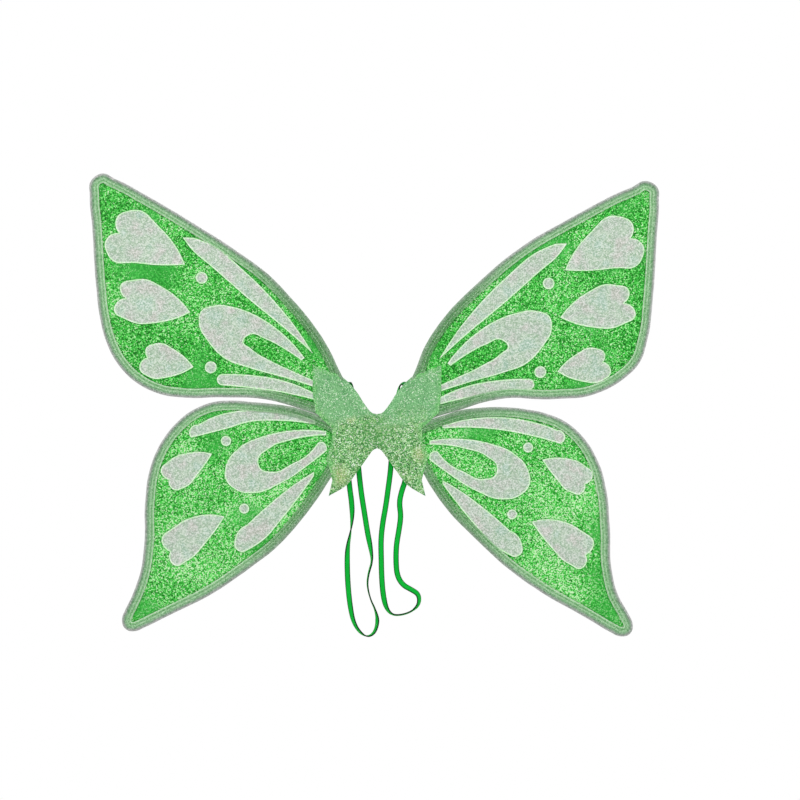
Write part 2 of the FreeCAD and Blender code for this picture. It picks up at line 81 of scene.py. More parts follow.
# --- Film ---
FILM_SPACING = 2.6
WINDOW_SPACING = 1.6            # between points along the windows' edges
GRID_JITTER = 0.15              # share of the spacing that inner points are moved by
EDGE_CLEAR = 0.6                # share of the spacing that they keep from an edge
PEARL_HALF = 0.2                # half the pearly film's thickness
GLITTER_HALF = 0.35             # from the middle plane to the glitter layer's outside
LAYER_GAP = 0.01                # between the pearly film and a glitter layer
CUT_EDGE = 1.15                 # width of the pale cut edge round each window
HEM_REACH = 5.7                 # the hem covers this much of the film's edge
SLACK = 1.3                     # how far the film billows between the wires
SLACK_SIZE = 38.0
SLACK_REACH = 26                # the slack grows over this distance from the hem
CRINKLE = 0.35
CRINKLE_SIZE = 11.0
PUCKER = 0.35
PUCKER_SIZE = 4.2
PUCKER_REACH = 6.0
PUCKER_SLANT = 0.15

# --- Edge binding: (distance inward from the outline, height over the middle plane) ---
EDGE_STEP = 1.4
ON_CUT = 0.05                   # points this near the crease's cut count as on it
PROFILE = [(0.0, 0.0), (0.1, 0.7), (0.55, 1.22), (1.3, 1.55), (2.1, 1.58), (2.9, 1.32),
           (3.5, 1.05), (4.3, 1.0), (4.9, 1.02), (5.35, 0.82), (5.85, 0.82), (6.4, 1.0),
           (7.6, 0.98), (8.35, 0.88), (8.6, 0.42)]
HEM_START = (3.0, 6.0)          # the roll gives way to the hem between these
GATHER_SIZE = 4.5               # the hem's short waves
SWAY_SIZE = 14.0                # the roll's long waves
ROLL_SWAY = 0.18
ROLL_RISE = 0.06
HEM_WAVE = 0.2
HEM_LIFT = 0.16
ROOT_BULGE = 0.5                # how far an upper and a lower tape lean together near the centre
ROOT_FACING = (0.75, 0.93)      # they lean where their edge faces up or down this much
ROOT_REACH = (74, 96)           # the lean fades out at this distance from the middle
SEAM = 5.6
FIRST_STITCH = 1.0
STITCH_PITCH = 2.9
STITCH_LENGTH = 2.35
THREAD_D = 0.55
STITCH_SIDES = 6
STITCH_SHAPE = ((0, -0.7, 0.55), (0.14, 0.25, 0.95), (0.5, 0.4, 1.0), (0.86, 0.25, 0.95),
                (1, -0.7, 0.55))    # share of its length, lift and radius in thread radii

# --- Cover: right half outline as smooth runs, the line between the arms on each side, and the
# wires that show as ridges under it ---
COVER_FREE = [[(0, 14.6), (5.5, 16.4), (12, 24.5), (18, 34), (26, 43.4), (33.5, 50)]]
COVER_OVER_FILM = [
    [(33.5, 50), (59, 59.5)],
    [(59, 59.5), (58.6, 34), (56.5, 16)],
    [(56.5, 16), (41, 1.2)],
    [(41, 1.2), (42.2, -13), (46.2, -25), (43.4, -36), (41, -46)]]
COVER_TIP = [
    [(41, -46), (44.4, -60.6)],
    [(44.4, -60.6), (28, -50.6), (18, -38), (9, -25.5), (4, -18.8), (0, -16.8)]]
COVER_SPLITS = {1: [(0, 1.5), (33, 3.9), (60, 14)], -1: [(0, 1.5), (33, 4.5), (60, 16)]}
RIDGES = [
    [(0, 10.3), (12, 15.2), (22.5, 27.6), (35, 50.2), (46, 76)],
    [(0, 3.0), (33, 6.4), (57, 15.4)],
    [(0, -3.0), (32, 1.2), (58, 10.2)],
    [(0, -7.3), (24, -15.3), (41.5, -37), (52, -54)]]
COVER_SPACING = 1.35
COVER_T = 0.5
COVER_LEVEL = 4.95              # how far the front cloth's face lies in front of the back pad
COVER_LUMP = 0.35
LUMP_SIZE = 7.0
RIDGE_RISE = 1.3
RIDGE_REACH = 2.7
PAD_LEVEL = 4.9                 # the padded middle: its edge, its rise and its half size
PAD_RISE = 1.5
PAD_SIZE = (17, 13)
TURN_LEVEL = 3.45               # a free edge turns back to this level
TURN_REACH = 3.6
WRAP_LEVEL = 6.05               # over the wires' wrapped middle, and where it fades out
WRAP_SIDE = (5.4, 7.0)
WRAP_FOOT = (-12, -9.6)
WRAP_TOP = (13.4, 14.5)
EDGE_REACH = 1.2                # every edge is pressed down a little over this distance
FRONT_DIP = 0.25
BACK_DIP = 0.1
BACK_Y = -0.42                  # the back cloth's outside, round its raised middle
BACK_ARM_Y = -2.65              # its outside on the arms
BACK_RIDGE = 0.75
BACK_RIDGE_START = (1, 4)
BACK_STEP = 5                   # width of the step down to the arms
BACK_PAST = 2                   # how far past the crease the step ends
FLAT_RISE = 0.4                 # the raised middle
FLAT_EDGE = (7, 10)
STUDIO_LIGHT = 1.27             # how much brighter than its paint a matt surface shows

# --- Places on the cover, in metres: painted golden highlights with their reach, and the darker middle ---
GOLD_GLINT_SPOTS = [((-0.024, -0.006, 0.011), 0.007), ((0.04, -0.006, -0.022), 0.012),
              ((-0.035, -0.006, -0.042), 0.015)]
HUB_MIDDLE = (0.0, -0.006, 0.002)

# --- Straps: the route's points, close to the CAD part's, and the ribbon's turn at some of them ---
RIBBON_W = 5.0
RIBBON_T = 1.25
RIBBON_STEP = 1.0               # between rings along a strap
FOLD_STEP = 0.5                 # between rings along a sewn end's fold
RIBBON_LEVEL = 0.1              # how fast the ribbon's flat side comes back to face front
LEFT_ROUTE = [
    (-26.5, 3.2, 33.0), (-26.8, 3.4, 40.6), (-26.8, 9.3, 44.6), (-24.6, 15.1, 40.8),
    (-23.2, 16.0, 32.2), (-22.4, 14.0, 22.5), (-21.2, 10.6, 8.0), (-19.8, 7.8, -9.0),
    (-18.0, 6.0, -26.0), (-16.4, 5.2, -43.0), (-14.4, 5.0, -60.0), (-11.6, 5.4, -77.0),
    (-9.0, 6.0, -94.0), (-6.0, 6.6, -109.0), (-4.4, 7.2, -121.0), (-8.0, 7.6, -132.0),
    (-9.4, 7.8, -143.0), (-6.4, 8.2, -156.0), (-1.6, 8.6, -166.0), (0.7, 9.0, -176.0),
    (-2.0, 9.2, -187.0), (-9.0, 9.4, -191.4), (-16.6, 9.2, -186.4), (-22.3, 8.8, -176.5),
    (-25.2, 8.2, -161.0), (-27.0, 7.6, -143.0), (-27.7, 7.0, -125.0), (-27.4, 6.4, -108.0),
    (-24.4, 5.8, -94.0), (-22.8, 5.2, -80.0), (-23.5, 4.6, -66.0), (-25.4, 3.8, -53.0),
    (-26.5, 3.2, -41.0)]
LEFT_TURNS = {0: 0, 12: 0, 14: 78, 17: 86, 18: 78, 19: 50, 20: 66, 21: 92, 22: 118, 24: 158,
              25: 180, 26: 180, 28: 265, 30: 360, 32: 360}
RIGHT_ROUTE = [
    (26.5, 3.2, 33.0), (26.5, 3.4, 39.7), (24.4, 9.0, 43.6), (20.6, 14.0, 40.8),
    (19.3, 15.8, 33.4), (18.3, 13.8, 24.0), (16.7, 10.4, 11.0), (15.0, 7.8, -5.0),
    (13.4, 6.0, -21.0), (12.3, 5.2, -38.0), (10.0, 5.0, -55.0), (7.8, 5.2, -71.0),
    (5.0, 5.8, -86.0), (3.4, 6.4, -101.0), (3.7, 7.0, -118.0), (4.1, 7.4, -136.0),
    (5.4, 7.8, -152.0), (8.2, 8.4, -164.5), (14.0, 8.8, -171.0), (23.5, 9.2, -170.6),
    (32.5, 9.2, -167.2), (38.8, 8.8, -160.6), (38.4, 8.4, -151.6), (31.5, 8.0, -147.2),
    (23.5, 7.4, -143.0), (18.2, 6.8, -134.0), (17.2, 6.2, -120.0), (17.6, 5.6, -106.0),
    (20.2, 5.2, -91.5), (21.9, 5.0, -79.0), (20.2, 4.8, -67.0), (22.6, 4.2, -56.0),
    (25.8, 3.5, -47.5), (26.5, 3.2, -41.0)]
RIGHT_TURNS = {0: 0, 16: 0, 18: 74, 20: 78, 21: 56, 22: 40, 23: 28, 25: 0, 33: 0}
FOLD_INSET = 0.8                # the fold's bend stops short of its CAD solid's end by this
TACKS = 3
TACK_PITCH = 1.5
TACK_HALF = 1.9                 # half a bar tack's length
TACK_Y = 2.3
TACK_RADIUS = 0.28

# --- Studio, in metres: name, place, size and power of each light ---
LIGHTS = [("key", (-0.9, -1.3, 1.0), 0.7, 7.0), ("fill", (1.2, -1.0, 0.3), 0.9, 3.5),
          ("rim", (0.3, 1.2, 1.0), 0.8, 5.0)]
FLOOR_RADIUS = 1.35
FLOOR_Z = -0.6
CAMERA_PLACE = (0.021, -2.04, 0.0275)
CAMERA_LENS = 100
SENSOR_WIDTH = 36


# ---------------------------------------- plane geometry
def smoothstep(low, high, value):
    t = np.clip((value - low) / (high - low), 0, 1)
    return t * t * (3 - 2 * t)


def lumps(points, size, seed):
    """Smooth noise from -1 to 1 at each point, with lumps about size mm across."""
    return np.array([noise.noise(Vector((*(p / size), seed))) for p in points])


def lengths_along(line):
    steps = np.linalg.norm(np.diff(line, axis=0), axis=1)
    return np.concatenate([[0.0], steps.cumsum()])


def evenly(line, step):
    """The line again, with points about step apart."""
    along = lengths_along(line)
    at = np.linspace(0, along[-1], max(2, round(along[-1] / step) + 1))
    return np.stack([np.interp(at, along, line[:, k]) for k in range(line.shape[1])], axis=1)


def divided(loop, step):
    """A closed loop with its long edges divided and every point kept."""
    found = []
    for a, b in zip(loop, np.roll(loop, -1, axis=0)):
        count = max(1, math.ceil(np.linalg.norm(b - a) / step))
        found += [a + (b - a) * i / count for i in range(count)]
    return np.array(found)


def inside(points, loop):
    """Which points lie inside a closed loop."""
    x, z = points[:, :1], points[:, 1:]
    (ax, az), (bx, bz) = loop.T, np.roll(loop, -1, axis=0).T
    rise = np.where(np.abs(bz - az) < 1e-12, 1e-12, bz - az)
    crosses = ((az > z) != (bz > z)) & (x < ax + (z - az) * (bx - ax) / rise)
    return crosses.sum(axis=1) % 2 == 1


def nearest_on(points, line):
    """Each point's distance to a line, and how far along the line the nearest place is."""
    a, step = line[:-1], np.diff(line, axis=0)
    size = np.linalg.norm(step, axis=1)
    share = ((points[:, None] - a) * step).sum(axis=2) / size ** 2
    share = np.clip(share, 0, 1)
    gap = np.linalg.norm(points[:, None] - a - share[..., None] * step, axis=2)
    best = gap.argmin(axis=1)
    rows = np.arange(len(points))
    return gap[rows, best], lengths_along(line)[best] + share[rows, best] * size[best]


def tree_of(points):
    """A search tree over points of two or three numbers."""
    tree = KDTree(len(points))
    for i, p in enumerate(points):
        tree.insert((*p, 0)[:3], i)
    tree.balance()
    return tree


def unit_rows(vectors):
    return vectors / np.linalg.norm(vectors, axis=1)[:, None]


def signed_area(loop):
    """A closed loop's area, positive if it runs anticlockwise."""
    (ax, az), (bx, bz) = loop.T, np.roll(loop, -1, axis=0).T
    return (ax * bz - bx * az).sum() / 2


def anticlockwise(loop):
    return loop if signed_area(loop) > 0 else loop[::-1]


def smooth_run(points, step):
    """Points step apart on a smooth curve through the given points."""
    points = np.array(points, float)
    if len(points) == 2:
        return evenly(points, step)
    padded = np.vstack([2 * points[0] - points[1], points, 2 * points[-1] - points[-2]])
    found = []
    for a, b, c, d in zip(padded, padded[1:], padded[2:], padded[3:]):
        for t in np.linspace(0, 1, 12, endpoint=False):
            found.append(0.5 * (2 * b + (c - a) * t + (2 * a - 5 * b + 4 * c - d) * t ** 2
                                + (3 * b - a - 3 * c + d) * t ** 3))
    return evenly(np.array(found + [points[-1]]), step)


def triangulated(loops, lines, spacing):
    """Points and triangles inside the first loop, with all loops and lines kept as edges."""
    fixed, edges = [], []
    for run, closed in [(r, True) for r in loops] + [(r, False) for r in lines]:
        start, count = len(fixed), len(run)
        edges += [(start + i, start + (i + 1) % count) for i in range(count - (not closed))]
        fixed += list(run)
    fixed = np.array(fixed)
    low, high = loops[0].min(axis=0), loops[0].max(axis=0)
    rows = np.arange(low[1], high[1], spacing * math.sqrt(0.75))
    grid = np.array([(x + (j % 2) * spacing / 2, z) for j, z in enumerate(rows)
                     for x in np.arange(low[0], high[0], spacing)])
    jitter = np.random.default_rng(5).uniform(-GRID_JITTER, GRID_JITTER, grid.shape)
    grid += jitter * spacing
    grid = grid[inside(grid, loops[0])]
    tree = tree_of(fixed)
    clear = [tree.find((*p, 0))[2] > EDGE_CLEAR * spacing for p in grid]
    points = np.vstack([fixed, grid[clear]])
    made = delaunay_2d_cdt([Vector(p) for p in points], edges, [], 0, 1e-5)
    points, triangles = np.array([tuple(p) for p in made[0]]), np.array(made[2])
    keep = inside(points[triangles].mean(axis=1), loops[0])
    return points, triangles[keep]


def open_edges(triangles):
    """Directed edges that only one triangle uses."""
    edges = np.vstack([triangles[:, [0, 1]], triangles[:, [1, 2]], triangles[:, [2, 0]]])
    there = set(map(tuple, edges))
    return [(a, b) for a, b in there if (b, a) not in there]


# ---------------------------------------- meshes
def write_piece(name, points, faces, materials, faces_material=None, sharp=None):
    """A new mesh object from points in mm."""
    mesh = bpy.data.meshes.new(name)
    mesh.from_pydata((np.asarray(points) * MM).tolist(), [], [list(map(int, f)) for f in faces])
    for material in materials:
        mesh.materials.append(material)
    if faces_material is not None:
        mesh.polygons.foreach_set("material_index", faces_material)
    mesh.shade_smooth()
    if sharp:
        marks = mesh.attributes.new("sharp_edge", "BOOLEAN", "EDGE")
        marks.data.foreach_set("value", [frozenset(e.vertices) in sharp for e in mesh.edges])
    made = bpy.data.objects.new(name, mesh)
    bpy.context.scene.collection.objects.link(made)
    return made


def tube_faces(rings, count):
    """The faces of a closed tube of rings, each with count points, and its two ends."""
    faces = [(i * count + k, i * count + (k + 1) % count,
              (i + 1) * count + (k + 1) % count, (i + 1) * count + k)
             for i in range(rings - 1) for k in range(count)]
    ends = [tuple(range(count))[::-1], tuple((rings - 1) * count + k for k in range(count))]
    return faces + ends


def store(made, name, values):
    """Keeps one number per point on a mesh, for its material."""
    layer = made.data.attributes.new(name, "FLOAT", "POINT")
    layer.data.foreach_set("value", np.asarray(values, np.float32))


def write_plate(name, points, triangles, front, back, materials, draw=None, depth=None):
    """A closed plate between two depths. draw moves the back's points within the plane. depth,
    and where draw moves anything, are kept for the material."""
    used, triangles = np.unique(triangles, return_inverse=True)
    triangles = triangles.reshape(-1, 3)
    points, front, back = points[used], front[used], back[used]
    behind = points if draw is None else points + draw[used]
    count = len(points)
    corners = np.vstack([np.column_stack([points[:, 0], front, points[:, 1]]),
                         np.column_stack([behind[:, 0], back, behind[:, 1]])])
    rim = open_edges(triangles)
    sides = [(b, a, a + count, b + count) for a, b in rim]
    faces = triangles.tolist() + (triangles[:, ::-1] + count).tolist() + sides
    indices = [0] * (2 * len(triangles)) + [len(materials) - 1] * len(sides)
    sharp = {frozenset(e) for e in rim} | {frozenset((a + count, b + count)) for a, b in rim}
    made = write_piece(name, corners, faces, materials, indices, sharp)
    if depth is not None:
        store(made, "depth", np.tile(depth[used], 2))
    if draw is not None:
        store(made, "rim", np.tile((np.abs(draw).max(axis=1) > 0)[used], 2).astype(float))
    return made


def front_loops(node):
    """Closed loops round a plate's front face in mm, the outer one first."""
    bm = bmesh.new()
    bm.from_mesh(frame["nodes"][node].data)
    bmesh.ops.remove_doubles(bm, verts=bm.verts, dist=1e-6)
    bm.normal_update()
    after = {}
    for edge in bm.edges:
        fronts = [face.normal.y < -0.9 for face in edge.link_faces]
        if sum(fronts) == 1:
            for a, b in (edge.verts, reversed(edge.verts)):
                after.setdefault(a, []).append(b)
    loops = []
    while after:
        first = next(iter(after))
        walk, last = [first], None
        while True:
            onward = [v for v in after[walk[-1]] if v is not last]
            last = walk[-1]
            if onward[0] is first:
                break
            walk.append(onward[0])
        for vertex in walk:
            del after[vertex]
        loops.append(anticlockwise(np.array([(v.co.x / MM, v.co.z / MM) for v in walk])))
    bm.free()
    return sorted(loops, key=lambda loop: -np.ptp(loop, axis=0).prod())


def crease_of(wing):
    """A point on a wing's crease, and the direction across it, away from the centre."""
    joint = next(j for j in frame["joints"] if j["child"] == wing + "_wing")
    axis, place = joint["axis"], joint["pos_m"]
    across = np.array([-axis[2], axis[0]])
    if across[0] * place[0] < 0:
        across = -across
    return np.array([place[0], place[2]]) / MM, across


# ---------------------------------------- materials
def srgb(red, green, blue):
    """The paint that shows as these 0 to 255 screen values under the studio's light."""
    def linear(value):
        share = value / 255
        return share / 12.92 if share <= 0.04045 else ((share + 0.055) / 1.055) ** 2.4
    return (linear(red) / STUDIO_LIGHT, linear(green) / STUDIO_LIGHT,
            linear(blue) / STUDIO_LIGHT, 1.0)


class Paint:
    """A material, with short calls for the nodes it is made of."""

    def __init__(self, name, **values):
        self.material = bpy.data.materials.new(name)
        self.material.use_nodes = True
        self.tree = self.material.node_tree
        self.shader = self.tree.nodes["Principled BSDF"]
        for socket, value in values.items():
            self.set(socket.replace("_", " ").title(), value)

    def set(self, socket, value):
        """Sets one of the shader's sockets to a value or to another node's output."""
        target = self.shader.inputs[socket.replace("Ior", "IOR")]
        if isinstance(value, bpy.types.NodeSocket):
            self.tree.links.new(value, target)
        else:
            target.default_value = value

    def node(self, kind, inputs=(), **settings):
        made = self.tree.nodes.new("ShaderNode" + kind)
        for key, value in settings.items():
            setattr(made, key, value)
        for key, value in dict(inputs).items():
            if isinstance(value, bpy.types.NodeSocket):
                self.tree.links.new(value, made.inputs[key])
            else:
                made.inputs[key].default_value = value
        return made

    def spot(self):
        """The place on the piece, in metres."""
        return self.node("TexCoord").outputs["Object"]

    def axis(self, index):
        return self.node("SeparateXYZ", {0: self.spot()}).outputs[index]

    def distance(self, place):
        inputs = {0: self.spot(), 1: place}
        return self.node("VectorMath", inputs, operation="DISTANCE").outputs[1]

    def place(self, size, stretch=(1, 1, 1)):
        """The place on the piece, in steps of size mm."""
        inputs = {0: self.spot(), 1: tuple(1 / (MM * size * s) for s in stretch)}
        return self.node("VectorMath", inputs, operation="MULTIPLY").outputs[0]

    def cells(self, size, stretch=(1, 1, 1)):
        """Random cells about size mm across."""
        return self.node("TexVoronoi", {"Vector": self.place(size, stretch), "Scale": 1.0})

    def cloud(self, size, detail=2.0, stretch=(1, 1, 1)):
        """Soft noise from 0 to 1 with lumps about size mm across."""
        inputs = {"Vector": self.place(size, stretch), "Scale": 1.0, "Detail": detail}
        return self.node("TexNoise", inputs).outputs[0]

    def number(self, operation, a, b):
        return self.node("Math", {0: a, 1: b}, operation=operation).outputs[0]

    def part(self, colour, index):
        return self.node("SeparateColor", {0: colour}).outputs[index]

    def between(self, value, low, high, out_low=0.0, out_high=1.0):
        inputs = {0: value, 1: low, 2: high, 3: out_low, 4: out_high}
        return self.node("MapRange", inputs, interpolation_type="SMOOTHSTEP").outputs[0]

    def ramp(self, factor, stops):
        """A colour ramp from (place, colour) stops."""
        made = self.node("ValToRGB", {0: factor})
        ends = made.color_ramp.elements
        for place, colour in stops[1:-1]:
            ends.new(place).color = colour
        ends[0].position, ends[0].color = stops[0]
        ends[-1].position, ends[-1].color = stops[-1]
        return made.outputs[0]

    def mix(self, factor, a, b, blend="MIX"):
        inputs = {0: factor, 6: a, 7: b}
        return self.node("Mix", inputs, data_type="RGBA", blend_type=blend).outputs[2]

    def tilt(self, colour, strength):
        """The surface's normal, leaned a different way in each cell."""
        lean = self.node("VectorMath", {0: colour, 1: (0.5, 0.5, 0.5)}, operation="SUBTRACT")
        lean = self.node("VectorMath", {0: lean.outputs[0], 3: strength}, operation="SCALE")
        normal = self.node("NewGeometry").outputs["Normal"]
        total = self.node("VectorMath", {0: normal, 1: lean.outputs[0]}, operation="ADD")
        return self.node("VectorMath", {0: total.outputs[0]}, operation="NORMALIZE").outputs[0]

    def bump(self, height, distance, strength=1.0):
        inputs = {"Height": height, "Distance": distance * MM, "Strength": strength}
        return self.node("Bump", inputs).outputs[0]

    def stored(self, name):
        return self.node("Attribute", attribute_name=name).outputs["Fac"]


def green_film():
    """Green holographic film: flecks painted bright and dark as glints, over broad light and dark
    patches.
    """
    paint = Paint("green_glitter_film", roughness=0.4, metallic=0.2, specular_ior_level=0.2)
    fine, coarse = paint.cells(0.82), paint.cells(1.5)
    patches = paint.cloud(46)
    light = paint.number("MULTIPLY", paint.part(fine.outputs["Color"], 0), 0.8)
    light = paint.number("ADD", light,
                         paint.number("MULTIPLY", paint.part(coarse.outputs["Color"], 0), 0.2))
    light = paint.number("ADD", light, paint.between(patches, 0.3, 0.7, -0.07, 0.09))
    # painted light: the film is painted lighter towards the bottom and darker towards the top
    light = paint.number("ADD", light, paint.between(paint.axis(2), -0.07, 0.05, 0.06, -0.06))
    flecks = paint.ramp(light, [
        (0.12, srgb(4, 104, 12)), (0.32, srgb(28, 156, 34)), (0.5, srgb(60, 200, 64)),
        (0.64, srgb(98, 232, 96)), (0.76, srgb(150, 252, 140)), (0.86, srgb(214, 255, 200))])
    calm = paint.between(paint.cloud(60, 1.0), 0.54, 0.68, 0.0, 0.6)
    plain = paint.ramp(patches, [(0.3, srgb(46, 176, 58)), (0.7, srgb(80, 200, 88))])
    # painted shadow: the film is painted darker next to the hem
    shade = paint.between(paint.stored("depth"), HEM_REACH - 0.5, HEM_REACH + 2.6, 0.35, 0.0)
    # painted shadow line: a darker green round each window's edge
    line = paint.between(paint.stored("rim"), 0.45, 1.0, 0.0, 0.5)
    colour = paint.mix(line, paint.mix(calm, flecks, plain), srgb(20, 104, 30))
    paint.set("Base Color", paint.mix(shade, colour, srgb(50, 130, 56), "MULTIPLY"))
    paint.set("Normal", paint.tilt(fine.outputs["Color"], 0.35))
    return paint.material


def pearl_film():
    """Pale pearly film with a fine grain and faint pink, yellow and cyan patches."""
    paint = Paint("pearl_film", roughness=0.4, metallic=0.1, sheen_weight=0.15)
    fine, grain = paint.cells(0.9), paint.cells(2.0)
    light = paint.ramp(paint.part(fine.outputs["Color"], 0), [
        (0.1, srgb(140, 176, 142)), (0.5, srgb(188, 210, 188)), (0.92, srgb(236, 246, 234))])
    hues = paint.ramp(paint.cloud(14, 3.0), [
        (0.34, srgb(236, 196, 216)), (0.45, srgb(204, 204, 204)), (0.55, srgb(190, 212, 182)),
        (0.68, srgb(176, 214, 206))])
    paint.set("Base Color", paint.mix(0.26, light, hues))
    paint.set("Normal", paint.bump(grain.outputs["Distance"], 0.22))
    return paint.material


def cut_edge():
    """The pale rim where the green layer is cut away."""
    paint = Paint("glitter_cut_edge", roughness=0.45)
    fleck = paint.part(paint.cells(0.9).outputs["Color"], 0)
    paint.set("Base Color", paint.ramp(fleck, [
        (0.1, srgb(190, 250, 180)), (0.6, srgb(222, 255, 212)), (0.95, srgb(250, 255, 246))]))
    return paint.material


def binding_cloth():
    """See-through shimmer tape: a mauve-grey roll over the wire, then a green hem with pale
    lines at the seam and at its edge. Near the centre it is greener and its hem is sheer."""
    paint = Paint("edge_binding", roughness=0.38, metallic=0.15, sheen_weight=0.2)
    wide = PROFILE[-1][0]
    # The roll's outer edge is painted paler: painted light that offsets the shade on its rounded
    # side.
    base = paint.ramp(paint.number("DIVIDE", paint.stored("inset"), wide), [
        (0.0, srgb(214, 212, 214)), (1.1 / wide, srgb(190, 190, 190)),
        (2.0 / wide, srgb(150, 172, 152)), (2.8 / wide, srgb(118, 176, 122)),
        (4.1 / wide, srgb(116, 186, 118)), (4.8 / wide, srgb(190, 246, 186)),
        (5.6 / wide, srgb(120, 196, 118)), (6.4 / wide, srgb(104, 184, 102)),
        (7.5 / wide, srgb(160, 236, 156)), (8.3 / wide, srgb(232, 255, 226))])
    out = paint.number("ABSOLUTE", paint.axis(0), 0.0)
    base = paint.mix(paint.between(out, 0.05, 0.15, 0.8, 0.0), base, srgb(92, 164, 90))
    fine = paint.cells(0.95)
    fleck = paint.ramp(paint.part(fine.outputs["Color"], 1), [
        (0.05, srgb(76, 120, 80)), (0.35, srgb(176, 190, 176)), (0.7, srgb(196, 206, 196)),
        (0.95, srgb(255, 255, 250))])
    hues = paint.ramp(paint.cloud(5, 2.0), [
        (0.3, srgb(226, 176, 206)), (0.5, srgb(190, 198, 190)), (0.7, srgb(166, 212, 170))])
    colour = paint.mix(0.8, base, paint.mix(0.4, fleck, hues), "SOFT_LIGHT")
    paint.set("Base Color", paint.mix(0.24, colour, fleck))
    sheer = paint.number("MULTIPLY", paint.between(out, 0.05, 0.13, 1.0, 0.0),
                         paint.between(paint.stored("inset"), 2.4, 4.4))
    paint.set("Alpha", paint.between(sheer, 0.0, 1.0, 0.84, 0.4))
    paint.set("Normal", paint.tilt(fine.outputs["Color"], 0.4))
    return paint.material


def thread():
    """Mint polyester thread with a fine twist."""
    paint = Paint("stitch_thread", roughness=0.5, sheen_weight=0.3)
    wave = paint.node("TexWave", {"Vector": paint.place(0.6), "Scale": 1.0, "Distortion": 0.4},
                      bands_direction="DIAGONAL").outputs[1]
    paint.set("Base Color", paint.ramp(wave, [
        (0.0, srgb(160, 216, 160)), (1.0, srgb(206, 246, 202))]))
    paint.set("Normal", paint.bump(wave, 0.08))
    return paint.material


def cover_glitter():
    """Chunky glitter cloth of gold, silver and olive flakes, painted glinting below and painted as
    an unlit satin green with a few flecks above, and loose film glitter strewn over the edge that
    lies on the wings."""
    paint = Paint("cover_glitter_cloth", roughness=0.42, metallic=0.2)
    # painted light: the lower part is painted as flakes that catch the light, the upper part as the
    # same cloth where they do not
    wander = paint.between(paint.cloud(16), 0.3, 0.7, -0.007, 0.007)
    glint_below = paint.between(paint.number("ADD", paint.axis(2), wander), 0.004, 0.019, 1.0, 0.0)
    flakes, dust = paint.cells(0.8), paint.cells(0.62)
    metal = paint.ramp(paint.part(flakes.outputs["Color"], 0), [
        (0.0, srgb(22, 92, 22)), (0.25, srgb(60, 142, 58)), (0.48, srgb(98, 178, 94)),
        (0.64, srgb(134, 206, 120)), (0.78, srgb(186, 228, 156)), (0.9, srgb(220, 255, 212)),
        (1.0, srgb(252, 255, 244))])
    # gold flakes at random, and painted golden highlights at the listed spots
    gold_and_glints = paint.between(paint.cloud(13, 1.0), 0.58, 0.76, 0.0, 0.4)
    for place, reach in GOLD_GLINT_SPOTS:
        near = paint.between(paint.distance(place), 0.0, reach, 1.0, 0.0)
        gold_and_glints = paint.number("MAXIMUM", gold_and_glints, near)
    gilt = paint.ramp(paint.part(flakes.outputs["Color"], 1), [
        (0.0, srgb(84, 134, 56)), (0.4, srgb(150, 186, 96)), (0.7, srgb(226, 226, 158)),
        (1.0, srgb(255, 250, 222))])
    metal = paint.mix(paint.number("MULTIPLY", gold_and_glints, 0.6), metal, gilt)
    hub = paint.between(paint.distance(HUB_MIDDLE), 0.006, 0.024, 0.34, 0.0)
    metal = paint.mix(hub, metal, srgb(70, 150, 62))
    # the upper part: the cloth painted as it looks where its flakes do not catch the light
    unlit_green = paint.ramp(paint.cloud(9, 3.0), [
        (0.3, srgb(88, 172, 102)), (0.7, srgb(128, 196, 128))])
    grain = paint.ramp(paint.part(dust.outputs["Color"], 1), [
        (0.1, srgb(46, 128, 60)), (0.9, srgb(168, 230, 164))])
    unlit_green = paint.mix(0.58, unlit_green, grain)
    # a few painted glints in the upper part
    dense = paint.between(paint.cloud(14, 1.0), 0.4, 0.66, 0.96, 0.89)
    sprinkle = paint.number("GREATER_THAN", paint.part(dust.outputs["Color"], 0), dense)
    unlit_green = paint.mix(sprinkle, unlit_green, srgb(236, 255, 228))
    strewn = paint.ramp(paint.part(dust.outputs["Color"], 2), [
        (0.1, srgb(30, 132, 36)), (0.35, srgb(62, 178, 66)), (0.6, srgb(104, 206, 100)),
        (0.8, srgb(150, 232, 140)), (0.95, srgb(214, 250, 200))])
    ragged = paint.number("ADD", paint.stored("depth"),
                          paint.between(paint.cloud(5), 0.3, 0.7, -2, 2))
    fray = paint.between(ragged, -0.5, 5.5, 0.8, 0.0)
    paint.set("Base Color", paint.mix(fray, paint.mix(glint_below, unlit_green, metal), strewn))
    paint.set("Normal", paint.tilt(flakes.outputs["Color"], 0.45))
    return paint.material


def weave(name, dark, light, pitch):
    """Plain woven cloth."""
    paint = Paint(name, roughness=0.85, sheen_weight=0.25)
    threads = [paint.node("TexWave", {"Vector": paint.place(pitch), "Scale": 1.0},
                          bands_direction=way).outputs[1] for way in ("X", "Z")]
    crossed = paint.number("MULTIPLY", threads[0], threads[1])
    tone = paint.number("ADD", paint.number("MULTIPLY", crossed, 0.5),
                        paint.number("MULTIPLY", paint.cloud(6, 4.0), 0.5))
    paint.set("Base Color", paint.ramp(tone, [(0.15, dark), (0.7, light)]))
    paint.set("Normal", paint.bump(crossed, 0.15))
    return paint.material


